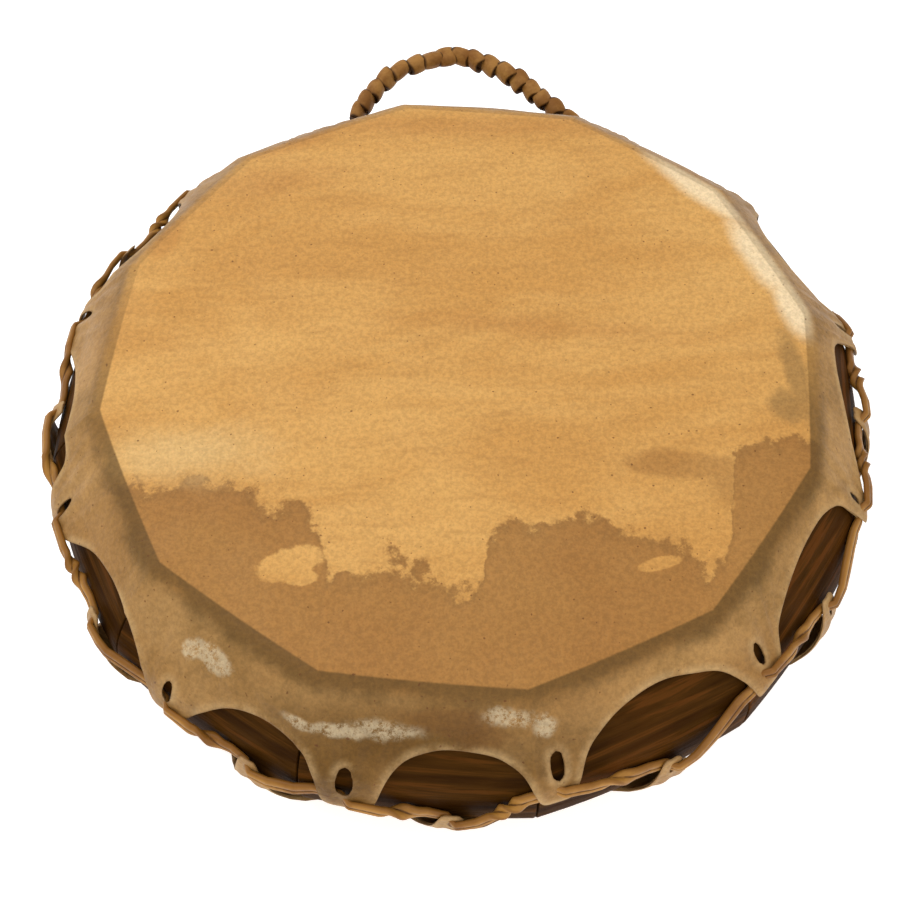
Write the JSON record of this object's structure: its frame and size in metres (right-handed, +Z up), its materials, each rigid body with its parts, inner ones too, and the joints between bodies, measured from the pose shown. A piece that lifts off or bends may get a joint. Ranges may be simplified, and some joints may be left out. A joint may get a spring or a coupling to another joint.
{
  "type": "ceremonial ritual drum",
  "caption": "Flat rawhide drum with laced, scalloped skins over a faceted wooden barrel ring and a wrapped rawhide carrying handle.",
  "frame": {"origin": "centre of the underside, the flat face of the lower skin that the drum rests on", "axes": "+Z up out of the upper playing skin, +Y towards the carrying handle at the back, +X to the right seen from the front"},
  "size_m": [0.3996, 0.4397, 0.098],
  "materials": {
    "stave_wood": "dark aged wood, hand-worn, with grain round the ring",
    "head_rawhide": "dry translucent rawhide, stained and worn, satin",
    "lace_rawhide": "twisted golden rawhide thong, satin",
    "handle_rawhide": "rawhide strips wrapped in slanting turns, satin"
  },
  "bodies": {
    "root": {"stave_01": "stave_wood", "stave_02": "stave_wood", "stave_03": "stave_wood", "stave_04": "stave_wood", "stave_05": "stave_wood", "stave_06": "stave_wood", "stave_07": "stave_wood", "stave_08": "stave_wood", "stave_09": "stave_wood", "stave_10": "stave_wood", "stave_11": "stave_wood", "stave_12": "stave_wood", "top_head": "head_rawhide", "bottom_head": "head_rawhide", "lacing": "lace_rawhide", "handle_tie_left": "lace_rawhide", "handle_tie_right": "lace_rawhide", "handle": "handle_rawhide"}
  },
  "joints": []
}
